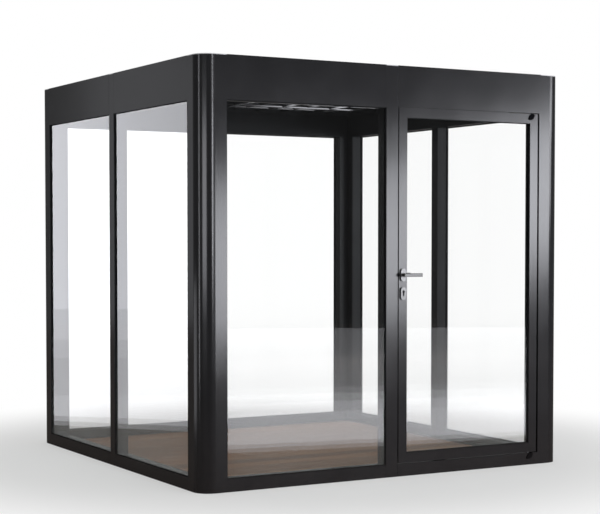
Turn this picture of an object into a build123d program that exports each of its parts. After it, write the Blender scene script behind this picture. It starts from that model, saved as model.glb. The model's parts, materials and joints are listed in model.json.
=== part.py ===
from build123d import *
import math
import os

# Glass greenhouse: a cube of aluminium posts and beams with two glazed bays on every wall,
# one of the front bays being a pivot-hung door with a lever handle, under a flat glass roof.
# Millimetres, +Z up, the origin on the ground at the middle of the plan.
# The door is in the front wall, which faces -Y.

# Overall sizes
plan_size = 2380.0
total_height = 2300.0
wall_depth = 90.0

# Posts
corner_leg = 156.0
corner_radius = 88.0
mid_post_width = 70.0
lock_keep_margin = 8.0
profile_wall = 3.0
edge_round = 2.0
cap_thickness = 4.0

# Beams along the walls
fascia_height = 236.0
door_head_rise = 8.0
upstand_height = 60.0
upstand_depth = 30.0
inner_line_height = 80.0
inner_line_width = 6.0
inner_line_depth = 1.5
ledge_reach = 24.0
ledge_thickness = 10.0
sill_height = 70.0

# Glass and its gaskets
glass_thickness = 8.0
glass_recess = 10.0
door_glass_recess = 14.0
gasket_side = 4.0
gasket_lip = 4.0
groove_depth = 14.0
glass_bite = 10.0

# Roof
roof_bays = 6
roof_bar_width = 30.0
roof_bar_height = 20.0
roof_bar_wall = 2.0
roof_end_gap = 2.0
roof_joint_gap = 4.0
roof_edge_gap = 4.0
bays_per_pane = 2

# Floor
floor_thickness = 12.0

# Door leaf
door_gap_lock = 5.5
door_gap_hinge = 12.0
door_gap_top = 5.0
door_gap_bottom = 5.0
hinge_jamb_width = 8.0
fit_gap = 0.3
leaf_thickness = 45.0
leaf_frame_width = 55.0
stop_gap = 5.0
stop_width = 9.0
stop_thickness = 12.0
head_stop_end_gap = 120.0

# Pivots at the top and bottom of the leaf
pivot_inset = 47.0
pivot_pin_radius = 8.0
pivot_pin_reach = 24.0
pivot_clearance = 0.05
socket_radius = 14.0
socket_fit = 0.1
socket_end_gap = 4.0
cover_width = 44.0
cover_height = 36.0
cover_thickness = 6.0
cover_slant = 7.0
cover_edge_round = 2.0

# Lever handle and lock
handle_inset = 26.0
handle_height = 1133.0
keyhole_drop = 104.0
plate_width = 34.0
plate_height = 72.0
plate_thickness = 10.0
plate_edge_round = 2.0
neck_radius = 9.0
neck_clearance = 0.05
lever_stand_off = 40.0
lever_length = 106.0
lever_overhang = 15.0
lever_bar_height = 20.0
lever_bar_thickness = 10.0
lever_end_round = 3.0
spindle_size = 8.0
spindle_clearance = 0.05
spindle_grip = 18.0
spindle_hole_radius = 10.0
key_hole_radius = 8.0
key_hole_rise = 10.0
key_slot_width = 9.0
key_slot_height = 24.0
key_hole_depth = 6.0
lock_plate_width = 20.0
lock_plate_height = 240.0
lock_plate_fit = 0.2
keep_plate_height = 200.0

# Worked out from the sizes above
half_plan = plan_size / 2
groove_width = glass_thickness + 2 * gasket_side
groove_offset = glass_recess - gasket_side
door_groove_offset = door_glass_recess - gasket_side
post_height = total_height - cap_thickness
fascia_bottom = total_height - fascia_height
box_top_height = total_height - upstand_height
head_bottom = fascia_bottom + door_head_rise
inner_line = fascia_bottom + inner_line_height
inner_half = half_plan - wall_depth
ledge_top = box_top_height - roof_bar_height
ledge_bottom = ledge_top - ledge_thickness
leg_end = half_plan - corner_leg
post_half = mid_post_width / 2
door_post_left = -post_half - lock_keep_margin

leaf_left = post_half + door_gap_lock
leaf_right = leg_end - hinge_jamb_width - door_gap_hinge
leaf_bottom = sill_height + door_gap_bottom
leaf_top = head_bottom - door_gap_top
leaf_centre_depth = leaf_thickness / 2
pivot_x = leaf_right - pivot_inset
handle_x = leaf_left + handle_inset
light_left = leaf_left + leaf_frame_width
light_right = leaf_right - leaf_frame_width
light_bottom = leaf_bottom + leaf_frame_width
light_top = leaf_top - leaf_frame_width

FRONT, RIGHT, BACK, LEFT = 0, 90, 180, 270
SIDES = {FRONT: "front", RIGHT: "right", BACK: "back", LEFT: "left"}
LOW = (Align.MIN, Align.MIN)

os.makedirs("parts", exist_ok=True)


def save(builder, name):
    """Label a finished piece and write it to its own file."""
    builder.part.label = name
    export_step(builder.part, f"parts/{name}.step")


def wall_axes(turn):
    """Directions along a wall, seen from outside it, and inwards through it."""
    angle = math.radians(turn)
    along = Vector(math.cos(angle), math.sin(angle), 0)
    inward = Vector(-math.sin(angle), math.cos(angle), 0)
    return along, inward


def plan_plane(turn, height=0.0):
    """A level plane: x along the wall, y inwards from the wall's outer face."""
    along, inward = wall_axes(turn)
    return Plane(origin=inward * -half_plan + Vector(0, 0, height), x_dir=along, z_dir=(0, 0, 1))


def section_plane(turn, start):
    """A plane across the wall: x inwards, y up, and extrusions run along the wall."""
    along, inward = wall_axes(turn)
    return Plane(origin=inward * -half_plan + along * start, x_dir=inward, z_dir=along)


def face_plane(turn, depth):
    """A plane along the wall at a depth behind its outer face: x along, y up, z outwards."""
    along, inward = wall_axes(turn)
    return Plane(origin=inward * (depth - half_plan), x_dir=along, z_dir=inward * -1)


def add_plate(turn, depth, thickness, span, rise, mode=Mode.ADD):
    """An upright plate: span is its left and right, rise its bottom and top."""
    with BuildSketch(face_plane(turn, depth)) as outline:
        with Locations((span[0], rise[0])):
            Rectangle(span[1] - span[0], rise[1] - rise[0], align=LOW)
    extrude(outline.sketch, amount=-thickness, mode=mode)


def add_post(turn, span, grooves, height):
    """A hollow post with a glazing groove in the sides that are asked for."""
    left, right = span
    chamber_left = left + profile_wall + (groove_depth if grooves[0] else 0)
    chamber_right = right - profile_wall - (groove_depth if grooves[1] else 0)
    with BuildSketch(plan_plane(turn)) as section:
        with Locations((left, 0)):
            Rectangle(right - left, wall_depth, align=LOW)
        fillet(section.vertices(), edge_round)
        with Locations((chamber_left, profile_wall)):
            Rectangle(chamber_right - chamber_left, wall_depth - 2 * profile_wall, align=LOW,
                      mode=Mode.SUBTRACT)
        if grooves[0]:
            with Locations((left, groove_offset)):
                Rectangle(groove_depth, groove_width, align=LOW, mode=Mode.SUBTRACT)
        if grooves[1]:
            with Locations((right - groove_depth, groove_offset)):
                Rectangle(groove_depth, groove_width, align=LOW, mode=Mode.SUBTRACT)
    extrude(section.sketch, amount=height)
    # above the roof glass only the front of the post goes on, as deep as the upstand
    with BuildSketch(plan_plane(turn, box_top_height)) as top_cut:
        with Locations((left, upstand_depth)):
            Rectangle(right - left, wall_depth - upstand_depth, align=LOW)
    extrude(top_cut.sketch, amount=height - box_top_height, mode=Mode.SUBTRACT)
    add_plate(turn, upstand_depth - profile_wall, profile_wall, span, (box_top_height, height))


def add_fascia(turn, span, bottom, grooved):
    """The ring beam over one bay: a hollow box with a shadow line inside and an upstand."""
    chamber_bottom = bottom + profile_wall + (groove_depth if grooved else 0)
    with BuildSketch(section_plane(turn, span[0])) as section:
        with Locations((0, bottom)):
            Rectangle(wall_depth, box_top_height - bottom, align=LOW)
            Rectangle(upstand_depth, post_height - bottom, align=LOW)
        with Locations((profile_wall, chamber_bottom)):
            Rectangle(wall_depth - 2 * profile_wall,
                      box_top_height - profile_wall - chamber_bottom, align=LOW,
                      mode=Mode.SUBTRACT)
        with Locations((profile_wall, box_top_height)):
            Rectangle(upstand_depth - 2 * profile_wall,
                      post_height - profile_wall - box_top_height, align=LOW, mode=Mode.SUBTRACT)
        with Locations((wall_depth - inner_line_depth, inner_line)):
            Rectangle(inner_line_depth, inner_line_width, align=LOW, mode=Mode.SUBTRACT)
        if grooved:
            with Locations((groove_offset, bottom)):
                Rectangle(groove_width, groove_depth, align=LOW, mode=Mode.SUBTRACT)
    extrude(section.sketch, amount=span[1] - span[0])


def add_sill(turn, span, grooved):
    """The hollow bottom beam of one bay, with a glazing groove on top where asked."""
    groove_below = groove_depth if grooved else 0
    with BuildSketch(section_plane(turn, span[0])) as section:
        Rectangle(wall_depth, sill_height, align=LOW)
        with Locations((profile_wall, profile_wall)):
            Rectangle(wall_depth - 2 * profile_wall, sill_height - 2 * profile_wall - groove_below,
                      align=LOW, mode=Mode.SUBTRACT)
        if grooved:
            with Locations((groove_offset, sill_height - groove_depth)):
                Rectangle(groove_width, groove_depth, align=LOW, mode=Mode.SUBTRACT)
    extrude(section.sketch, amount=span[1] - span[0])


def add_pane(turn, span, rise, recess=glass_recess, mode=Mode.ADD):
    """A sheet of glass that reaches into the grooves round an opening."""
    add_plate(turn, recess, glass_thickness, (span[0] - glass_bite, span[1] + glass_bite),
              (rise[0] - glass_bite, rise[1] + glass_bite), mode=mode)


def add_gasket(turn, span, rise, recess=glass_recess):
    """A U-shaped gasket frame that fills the grooves and holds the edge of the glass."""
    front = recess - gasket_side
    add_plate(turn, front, groove_width, (span[0] - groove_depth, span[1] + groove_depth),
              (rise[0] - groove_depth, rise[1] + groove_depth))
    add_plate(turn, front, groove_width, (span[0] + gasket_lip, span[1] - gasket_lip),
              (rise[0] + gasket_lip, rise[1] - gasket_lip), mode=Mode.SUBTRACT)
    add_pane(turn, span, rise, recess, Mode.SUBTRACT)


def add_corner_outline(turn, height, amount):
    """The L-shaped plan of a corner post with its quarter-round outer corner."""
    with BuildSketch(plan_plane(turn, height)) as outline:
        with Locations((-half_plan, 0)):
            Rectangle(corner_leg, wall_depth, align=LOW)
            Rectangle(wall_depth, corner_leg, align=LOW)
        fillet(outline.vertices().sort_by(lambda vertex: vertex.X + vertex.Y)[0], corner_radius)
    extrude(outline.sketch, amount=amount)


# Bays of each wall, as left and right ends along the wall seen from outside
left_bay = (-leg_end, -post_half)
right_bay = (post_half, leg_end)
front_bay = (-leg_end, door_post_left)
door_bay = right_bay
glass_rise = (sill_height, fascia_bottom)

# Corner posts: two wall legs and the quarter-round outer corner in one hollow profile.
# Each leg has its own chamber and a glazing groove in its end; the corner has a third chamber.
leg_chamber = corner_leg - wall_depth - groove_depth - profile_wall
inner_wall = wall_depth - 2 * profile_wall
corner_names = {FRONT: "front_left", RIGHT: "front_right", BACK: "back_right", LEFT: "back_left"}
for turn, corner_name in corner_names.items():
    with BuildPart() as corner_post:
        add_corner_outline(turn, 0, post_height)
        with BuildSketch(plan_plane(turn)):
            with Locations((-half_plan + profile_wall, profile_wall)):
                Rectangle(inner_wall, inner_wall, align=LOW)
            with Locations((-half_plan + corner_radius, corner_radius)):
                Circle(corner_radius - profile_wall, mode=Mode.INTERSECT)
            with Locations((-half_plan + wall_depth, profile_wall)):
                Rectangle(leg_chamber, inner_wall, align=LOW)
            with Locations((-half_plan + profile_wall, wall_depth)):
                Rectangle(inner_wall, leg_chamber, align=LOW)
            with Locations((-half_plan + corner_leg - groove_depth, groove_offset)):
                Rectangle(groove_depth, groove_width, align=LOW)
            with Locations((-half_plan + groove_offset, corner_leg - groove_depth)):
                Rectangle(groove_width, groove_depth, align=LOW)
        extrude(amount=post_height, mode=Mode.SUBTRACT)
    save(corner_post, f"corner_post_{corner_name}")

# Posts at the middle of each wall
for turn in (RIGHT, BACK, LEFT):
    with BuildPart() as mid_post:
        add_post(turn, (-post_half, post_half), (True, True), post_height)
    save(mid_post, f"mid_post_{SIDES[turn]}")

# Door post: a little wider for the lock keep, glazed on its left side only
keep_middle_depth = leaf_centre_depth
with BuildPart() as door_post:
    add_post(FRONT, (door_post_left, post_half), (True, False), post_height)
    with BuildSketch(Plane.YZ.offset(post_half)):
        with Locations((keep_middle_depth - half_plan, handle_height - keyhole_drop / 2)):
            Rectangle(lock_plate_width + 2 * lock_plate_fit, keep_plate_height + 2 * lock_plate_fit)
    extrude(amount=-profile_wall, mode=Mode.SUBTRACT)
save(door_post, "door_post")

# Fascias: the ring beam along the top of each wall, butted between the posts
with BuildPart() as fascia_front:
    add_fascia(FRONT, front_bay, fascia_bottom, True)
    add_fascia(FRONT, door_bay, head_bottom, False)
save(fascia_front, "fascia_front")
for turn in (RIGHT, BACK, LEFT):
    with BuildPart() as fascia:
        add_fascia(turn, left_bay, fascia_bottom, True)
        add_fascia(turn, right_bay, fascia_bottom, True)
    save(fascia, f"fascia_{SIDES[turn]}")

# Sills under the fixed glass, and the threshold under the door
with BuildPart() as sill_front:
    add_sill(FRONT, front_bay, True)
save(sill_front, "sill_front")
with BuildPart() as threshold:
    add_sill(FRONT, door_bay, False)
save(threshold, "threshold")
for turn in (RIGHT, BACK, LEFT):
    with BuildPart() as sill:
        add_sill(turn, left_bay, True)
        add_sill(turn, right_bay, True)
    save(sill, f"sill_{SIDES[turn]}")

# Fixed glass and its gaskets
with BuildPart() as glass_front:
    add_pane(FRONT, front_bay, glass_rise)
save(glass_front, "glass_front")
for turn in (RIGHT, BACK, LEFT):
    with BuildPart() as glass:
        add_pane(turn, left_bay, glass_rise)
        add_pane(turn, right_bay, glass_rise)
    save(glass, f"glass_{SIDES[turn]}")
with BuildPart() as glazing_gaskets:
    add_gasket(FRONT, front_bay, glass_rise)
    for turn in (RIGHT, BACK, LEFT):
        add_gasket(turn, left_bay, glass_rise)
        add_gasket(turn, right_bay, glass_rise)
save(glazing_gaskets, "glazing_gaskets")

# Floor inside the walls
floor_half = inner_half - fit_gap
with BuildPart() as floor:
    with BuildSketch():
        Rectangle(2 * floor_half, 2 * floor_half)
    extrude(amount=floor_thickness)
save(floor, "floor")

# Ledge round the inside of the ring beam, which carries the roof bars
with BuildPart() as roof_ledge:
    for turn in SIDES:
        ledge_half = inner_half - (0 if turn in (FRONT, BACK) else ledge_reach + fit_gap)
        with BuildSketch(plan_plane(turn, ledge_bottom)):
            with Locations((-ledge_half, wall_depth)):
                Rectangle(2 * ledge_half, ledge_reach, align=LOW)
        extrude(amount=ledge_thickness)
save(roof_ledge, "roof_ledge")

# Roof bars: hollow bars front to back on the ledges, shorter ones between them
bar_spacing = 2 * inner_half / roof_bays
bar_half_length = inner_half - roof_end_gap
bar_places = [(index - roof_bays / 2) * bar_spacing for index in range(1, roof_bays)]
bar_middle = ledge_top + roof_bar_height / 2
with BuildPart() as roof_bars:
    with BuildSketch(Plane.XZ.offset(-bar_half_length)):
        with Locations([(place, bar_middle) for place in bar_places]):
            Rectangle(roof_bar_width, roof_bar_height)
            Rectangle(roof_bar_width - 2 * roof_bar_wall, roof_bar_height - 2 * roof_bar_wall,
                      mode=Mode.SUBTRACT)
    extrude(amount=2 * bar_half_length)
save(roof_bars, "roof_bars")

half_bar = roof_bar_width / 2
cross_starts = [-bar_half_length] + [place + half_bar for place in bar_places]
cross_ends = [place - half_bar for place in bar_places] + [bar_half_length]
with BuildPart() as roof_cross_bars:
    for start, end in zip(cross_starts, cross_ends):
        with BuildSketch(Plane.YZ.offset(start)):
            with Locations([(place, bar_middle) for place in bar_places]):
                Rectangle(roof_bar_width, roof_bar_height)
                Rectangle(roof_bar_width - 2 * roof_bar_wall, roof_bar_height - 2 * roof_bar_wall,
                          mode=Mode.SUBTRACT)
        extrude(amount=end - start)
save(roof_cross_bars, "roof_cross_bars")

# Roof glass: strips side by side with their joints over the bars
roof_half = half_plan - upstand_depth - roof_edge_gap
pane_width = bays_per_pane * bar_spacing
joints = [pane_width / 2 * side for side in (-1, 1)]
strip_edges = [-roof_half] + joints + [roof_half]
corner_clear = half_plan - corner_leg - roof_edge_gap
with BuildPart() as roof_glass:
    with BuildSketch(Plane.XY.offset(box_top_height)):
        Rectangle(2 * corner_clear, 2 * roof_half)
        Rectangle(2 * roof_half, 2 * corner_clear)
        Rectangle(2 * (inner_half - roof_edge_gap), 2 * (inner_half - roof_edge_gap))
    extrude(amount=glass_thickness)
    with BuildSketch(Plane.XY.offset(box_top_height)):
        with Locations([(joint, 0) for joint in joints]):
            Rectangle(roof_joint_gap, 2 * roof_half)
    extrude(amount=glass_thickness, mode=Mode.SUBTRACT)
save(roof_glass, "roof_glass")

# Caps on the posts and copings on the fascias, closing the tops of the profiles
with BuildPart() as post_caps:
    for turn in SIDES:
        add_corner_outline(turn, post_height, cap_thickness)
        cap_left = door_post_left if turn == FRONT else -post_half
        with BuildSketch(plan_plane(turn, post_height)) as cap:
            with Locations((cap_left, 0)):
                Rectangle(post_half - cap_left, upstand_depth, align=LOW)
            fillet(cap.vertices().group_by(Axis.Y)[0], edge_round)
        extrude(amount=cap_thickness)
save(post_caps, "post_caps")
with BuildPart() as copings:
    for turn in SIDES:
        for bay in (front_bay if turn == FRONT else left_bay, right_bay):
            with BuildSketch(plan_plane(turn, post_height)):
                with Locations((bay[0], 0)):
                    Rectangle(bay[1] - bay[0], upstand_depth, align=LOW)
            extrude(amount=cap_thickness)
save(copings, "copings")

# Frame parts round the door: hinge-side jamb strip and the slim stops behind the leaf
with BuildPart() as hinge_jamb:
    add_plate(FRONT, 0, wall_depth, (leg_end - hinge_jamb_width, leg_end), (sill_height, head_bottom))
save(hinge_jamb, "hinge_jamb")
stop_depth = leaf_thickness + stop_gap
with BuildPart() as door_stop:
    add_plate(FRONT, stop_depth, stop_thickness, (post_half, post_half + stop_width),
              (sill_height, head_bottom))
    add_plate(FRONT, stop_depth, stop_thickness,
              (post_half + stop_width + fit_gap, pivot_x - head_stop_end_gap),
              (head_bottom - stop_width, head_bottom))
save(door_stop, "door_stop")

# Lock keep let into the door post
with BuildPart() as lock_keep:
    with BuildSketch(Plane.YZ.offset(post_half)):
        with Locations((keep_middle_depth - half_plan, handle_height - keyhole_drop / 2)):
            Rectangle(lock_plate_width, keep_plate_height)
    extrude(amount=-profile_wall)
save(lock_keep, "lock_keep")

# Pivot pins on the threshold and under the head
pivot_y = leaf_centre_depth - half_plan
with BuildPart() as pivot_pins:
    with BuildSketch(Plane.XY.offset(sill_height)):
        with Locations((pivot_x, pivot_y)):
            Circle(pivot_pin_radius)
    extrude(amount=pivot_pin_reach)
    with BuildSketch(Plane.XY.offset(head_bottom)):
        with Locations((pivot_x, pivot_y)):
            Circle(pivot_pin_radius)
    extrude(amount=-pivot_pin_reach)
save(pivot_pins, "pivot_pins")


def add_cover(bottom):
    """A slanted cover on the front face, over a pivot."""
    with BuildSketch(face_plane(FRONT, 0)) as cover_outline:
        with Locations((pivot_x, bottom)):
            half_width = cover_width / 2
            Polygon((-half_width - cover_slant / 2, 0), (half_width - cover_slant / 2, 0),
                    (half_width + cover_slant / 2, cover_height),
                    (-half_width + cover_slant / 2, cover_height), align=None)
    extrude(cover_outline.sketch, amount=cover_thickness)


with BuildPart() as pivot_cover_bottom:
    add_cover(sill_height - cover_height)
    fillet(pivot_cover_bottom.faces().sort_by(Axis.Y)[0].edges(), cover_edge_round)
save(pivot_cover_bottom, "pivot_cover_bottom")
with BuildPart() as pivot_cover_top:
    add_cover(leaf_top - cover_height)
    fillet(pivot_cover_top.faces().sort_by(Axis.Y)[0].edges(), cover_edge_round)
save(pivot_cover_top, "pivot_cover_top")

# Door leaf: rails right across, stiles between them, each with a glazing groove
rail_chamber = leaf_frame_width - groove_depth - 2 * profile_wall
leaf_inner = leaf_thickness - 2 * profile_wall


def add_rail(bottom, groove_up):
    """A hollow door rail with its glazing groove on the upper or the lower edge."""
    groove_bottom = bottom + leaf_frame_width - groove_depth if groove_up else bottom
    chamber_bottom = bottom + profile_wall + (0 if groove_up else groove_depth)
    with BuildSketch(section_plane(FRONT, leaf_left)) as section:
        with Locations((0, bottom)):
            Rectangle(leaf_thickness, leaf_frame_width, align=LOW)
        with Locations((profile_wall, chamber_bottom)):
            Rectangle(leaf_inner, rail_chamber, align=LOW, mode=Mode.SUBTRACT)
        with Locations((door_groove_offset, groove_bottom)):
            Rectangle(groove_width, groove_depth, align=LOW, mode=Mode.SUBTRACT)
    extrude(section.sketch, amount=leaf_right - leaf_left)


def add_stile(left, groove_right):
    """A hollow door stile with its glazing groove on the right or the left edge."""
    groove_left = left + leaf_frame_width - groove_depth if groove_right else left
    chamber_left = left + profile_wall + (0 if groove_right else groove_depth)
    with BuildSketch(plan_plane(FRONT, light_bottom)) as section:
        with Locations((left, 0)):
            Rectangle(leaf_frame_width, leaf_thickness, align=LOW)
        with Locations((chamber_left, profile_wall)):
            Rectangle(rail_chamber, leaf_inner, align=LOW, mode=Mode.SUBTRACT)
        with Locations((groove_left, door_groove_offset)):
            Rectangle(groove_depth, groove_width, align=LOW, mode=Mode.SUBTRACT)
    extrude(section.sketch, amount=light_top - light_bottom)


socket_height = profile_wall + rail_chamber
with BuildPart() as door_rails:
    add_rail(leaf_bottom, True)
    add_rail(light_top, False)
    with BuildSketch(Plane.XY.offset(leaf_bottom)):
        with Locations((pivot_x, pivot_y)):
            Circle(socket_radius + socket_fit)
    extrude(amount=profile_wall, mode=Mode.SUBTRACT)
    with BuildSketch(Plane.XY.offset(leaf_top)):
        with Locations((pivot_x, pivot_y)):
            Circle(socket_radius + socket_fit)
    extrude(amount=-profile_wall, mode=Mode.SUBTRACT)
save(door_rails, "door_rails")

lock_middle = handle_height - keyhole_drop / 2
with BuildPart() as door_stiles:
    add_stile(leaf_left, True)
    add_stile(light_right, False)
    with BuildSketch(face_plane(FRONT, 0)):
        with Locations((handle_x, handle_height)):
            Circle(spindle_hole_radius)
    extrude(amount=-leaf_thickness, mode=Mode.SUBTRACT)
    with BuildSketch(Plane.YZ.offset(leaf_left)):
        with Locations((pivot_y, lock_middle)):
            Rectangle(lock_plate_width + 2 * lock_plate_fit, lock_plate_height + 2 * lock_plate_fit)
    extrude(amount=profile_wall, mode=Mode.SUBTRACT)
save(door_stiles, "door_stiles")

door_light = (light_left, light_right)
door_light_rise = (light_bottom, light_top)
with BuildPart() as door_glass:
    add_pane(FRONT, door_light, door_light_rise, door_glass_recess)
save(door_glass, "door_glass")
with BuildPart() as door_gasket:
    add_gasket(FRONT, door_light, door_light_rise, door_glass_recess)
save(door_gasket, "door_gasket")

socket_bore = pivot_pin_reach - door_gap_bottom + socket_end_gap
with BuildPart() as pivot_sockets:
    with BuildSketch(Plane.XY.offset(leaf_bottom)):
        with Locations((pivot_x, pivot_y)):
            Circle(socket_radius)
    extrude(amount=socket_height)
    with BuildSketch(Plane.XY.offset(leaf_bottom)):
        with Locations((pivot_x, pivot_y)):
            Circle(pivot_pin_radius + pivot_clearance)
    extrude(amount=socket_bore, mode=Mode.SUBTRACT)
    with BuildSketch(Plane.XY.offset(leaf_top)):
        with Locations((pivot_x, pivot_y)):
            Circle(socket_radius)
    extrude(amount=-socket_height)
    with BuildSketch(Plane.XY.offset(leaf_top)):
        with Locations((pivot_x, pivot_y)):
            Circle(pivot_pin_radius + pivot_clearance)
    extrude(amount=-socket_bore, mode=Mode.SUBTRACT)
save(pivot_sockets, "pivot_sockets")

# Lock faceplate let into the edge of the leaf
with BuildPart() as lock_faceplate:
    with BuildSketch(Plane.YZ.offset(leaf_left)):
        with Locations((pivot_y, lock_middle)):
            Rectangle(lock_plate_width, lock_plate_height)
    extrude(amount=profile_wall)
save(lock_faceplate, "lock_faceplate")


# Handle plates: an upper one for the lever and a lower one with the keyhole, on both faces
def add_handle_plates(outside):
    """Two rounded plates on a face of the leaf, the lower with a keyhole sunk in it."""
    base = face_plane(FRONT, 0 if outside else leaf_thickness)
    out = plate_thickness if outside else -plate_thickness
    key_depth = key_hole_depth if outside else -key_hole_depth
    with BuildSketch(base) as outline:
        with Locations((handle_x, handle_height), (handle_x, handle_height - keyhole_drop)):
            SlotOverall(plate_height, plate_width, rotation=90)
    extrude(outline.sketch, amount=out)
    with BuildSketch(base) as bore:
        with Locations((handle_x, handle_height)):
            Circle(neck_radius + neck_clearance)
    extrude(bore.sketch, amount=out, mode=Mode.SUBTRACT)
    with BuildSketch(base.offset(out)) as keyhole:
        with Locations((handle_x, handle_height - keyhole_drop + key_hole_rise)):
            Circle(key_hole_radius)
            with Locations((0, -key_slot_height / 2)):
                Rectangle(key_slot_width, key_slot_height)
    extrude(keyhole.sketch, amount=-key_depth, mode=Mode.SUBTRACT)


with BuildPart() as handle_plates_outside:
    add_handle_plates(True)
save(handle_plates_outside, "handle_plates_outside")
with BuildPart() as handle_plates_inside:
    add_handle_plates(False)
save(handle_plates_inside, "handle_plates_inside")


# Levers: a round neck through the plate and a flat bar, on both faces of the leaf.
# The square spindle is fast in the outside lever and slides into the inside one.
def add_lever(outside):
    """A round neck standing out of the leaf with a flat bar across its end."""
    base = face_plane(FRONT, 0 if outside else leaf_thickness)
    out = 1 if outside else -1
    reach = lever_stand_off + lever_bar_thickness / 2
    with BuildSketch(base) as neck:
        with Locations((handle_x, handle_height)):
            Circle(neck_radius)
    extrude(neck.sketch, amount=out * reach)
    with BuildSketch(base.offset(out * (reach - lever_bar_thickness))) as bar:
        with Locations((handle_x - lever_overhang, handle_height)):
            Rectangle(lever_length + lever_overhang, lever_bar_height,
                      align=(Align.MIN, Align.CENTER))
        fillet(bar.vertices().group_by(Axis.X)[0], lever_bar_height / 2 - socket_fit)
        fillet(bar.vertices().group_by(Axis.X)[-1], lever_end_round)
    extrude(bar.sketch, amount=out * lever_bar_thickness)

with BuildPart() as lever_outside:
    add_lever(True)
    with BuildSketch(face_plane(FRONT, 0)):
        with Locations((handle_x, handle_height)):
            Rectangle(spindle_size, spindle_size)
    extrude(amount=-(leaf_thickness + spindle_grip))
save(lever_outside, "lever_outside")
with BuildPart() as lever_inside:
    add_lever(False)
    with BuildSketch(face_plane(FRONT, leaf_thickness)):
        with Locations((handle_x, handle_height)):
            Rectangle(spindle_size + 2 * spindle_clearance, spindle_size + 2 * spindle_clearance)
    extrude(amount=-spindle_grip, mode=Mode.SUBTRACT)
save(lever_inside, "lever_inside")
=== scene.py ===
"""Looks of the glass greenhouse: finishes, small detail and the photo stage.

Laid out as an add-on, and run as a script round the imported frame.
"""

import json
import math

import bmesh
import bpy
import numpy as np
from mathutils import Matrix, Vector


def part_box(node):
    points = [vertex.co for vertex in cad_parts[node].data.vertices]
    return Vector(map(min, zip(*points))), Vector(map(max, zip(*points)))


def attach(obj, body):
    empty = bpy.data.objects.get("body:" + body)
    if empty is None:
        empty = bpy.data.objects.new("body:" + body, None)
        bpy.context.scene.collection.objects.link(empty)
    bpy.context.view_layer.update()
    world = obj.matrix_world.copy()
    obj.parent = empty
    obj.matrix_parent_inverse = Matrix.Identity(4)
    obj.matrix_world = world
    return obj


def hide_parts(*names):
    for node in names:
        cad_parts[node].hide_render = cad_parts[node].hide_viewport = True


bl_info = {
    "name": "Glass greenhouse looks",
    "version": (1, 0, 0),
    "blender": (4, 5, 0),
    "location": "View3D > Sidebar > Greenhouse",
    "description": "Finishes, floor boards, roof bars, door furniture and stage of a greenhouse",
    "category": "Object",
}

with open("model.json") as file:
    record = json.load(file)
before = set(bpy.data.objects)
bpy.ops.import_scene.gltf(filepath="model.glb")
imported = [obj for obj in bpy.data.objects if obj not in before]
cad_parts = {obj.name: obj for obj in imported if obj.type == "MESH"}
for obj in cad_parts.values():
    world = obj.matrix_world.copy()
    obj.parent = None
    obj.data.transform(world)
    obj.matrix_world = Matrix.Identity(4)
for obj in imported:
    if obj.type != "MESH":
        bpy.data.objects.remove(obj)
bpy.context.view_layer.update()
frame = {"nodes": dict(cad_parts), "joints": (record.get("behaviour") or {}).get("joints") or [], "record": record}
NODES = frame["nodes"]
SLOT_OF = {part["node"]: part["material_slot"] for part in frame["record"]["subparts"]}


# ---- numbers that belong to the object ----------------------------------------------------

# Sizes of the part that the boxes of its nodes don't give, in metres
ROOF_BAR_WIDTH = 0.030
ROOF_BARS_EACH_WAY = 5
LEVER_THICKNESS = 0.010
LEVER_HEEL_ROUND = 0.0098
LEVER_TIP_ROUND = 0.003
LEVER_LEAST_HALF_HEIGHT = 0.0004
NECK_RADIUS = 0.009
SPINDLE_SIZE, SPINDLE_EDGE = 0.008, 0.0004
PLATE_HALF_HEIGHT = 0.036
KEYHOLE_RISE, KEYHOLE_DEPTH = 0.010, 0.006

# Small detail that is made here only, in metres
CYLINDER_RADIUS, CYLINDER_HALF_TAIL, CYLINDER_DROP = 0.0078, 0.0043, 0.0238
PLUG_RADIUS, PLUG_HALF_SLIT, PLUG_RISE = 0.0055, 0.0006, 0.0005
SCREW_INSET = 0.012
SCREW_RADII = (0.0042, 0.0040, 0.0034, 0.0014, 0.0012)
SCREW_DEPTHS = (-0.0004, 0.0001, 0.0004, 0.0004, 0.0001)

# Seed of the tones of the floor boards, and colour of the soft lamps
TONE_SEED = 7
LAMP_TINT = (0.96, 0.97, 1.03)


def spread(node):
    """Lowest and highest corner of a frame node as numpy arrays."""
    low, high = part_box(node)
    return np.array(low), np.array(high)


def joint_point(name):
    """The point a joint turns about, in metres, as a numpy array."""
    return np.array(next(j["pos_m"] for j in frame["joints"] if j["name"] == name))


# ---- meshes from numpy surfaces ----------------------------------------------------------

def surface_mesh(name, points):
    """A closed mesh from a grid of points: rows follow the path, columns go round the outline.

    Point (i, j) is outline point j carried to path place i. Neighbouring rows and columns
    are joined by four-sided faces, and each end is closed by one face.
    """
    rows, columns = points.shape[:2]
    index = np.arange(rows * columns).reshape(rows, columns)
    index = np.hstack([index, index[:, :1]])
    quads = np.stack([index[:-1, :-1], index[:-1, 1:], index[1:, 1:], index[1:, :-1]], -1)
    faces = quads.reshape(-1, 4).tolist()
    faces.append(list(range(columns))[::-1])
    faces.append(list(range((rows - 1) * columns, rows * columns)))
    mesh = bpy.data.meshes.new(name)
    mesh.from_pydata(points.reshape(-1, 3), [], faces)
    return mesh


def joined(name, meshes):
    """One mesh from several, with its normals turned outwards."""
    shape = bmesh.new()
    for mesh in meshes:
        shape.from_mesh(mesh)
        bpy.data.meshes.remove(mesh)
    bmesh.ops.recalc_face_normals(shape, faces=shape.faces)
    whole = bpy.data.meshes.new(name)
    shape.to_mesh(whole)
    shape.free()
    return whole


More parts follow.
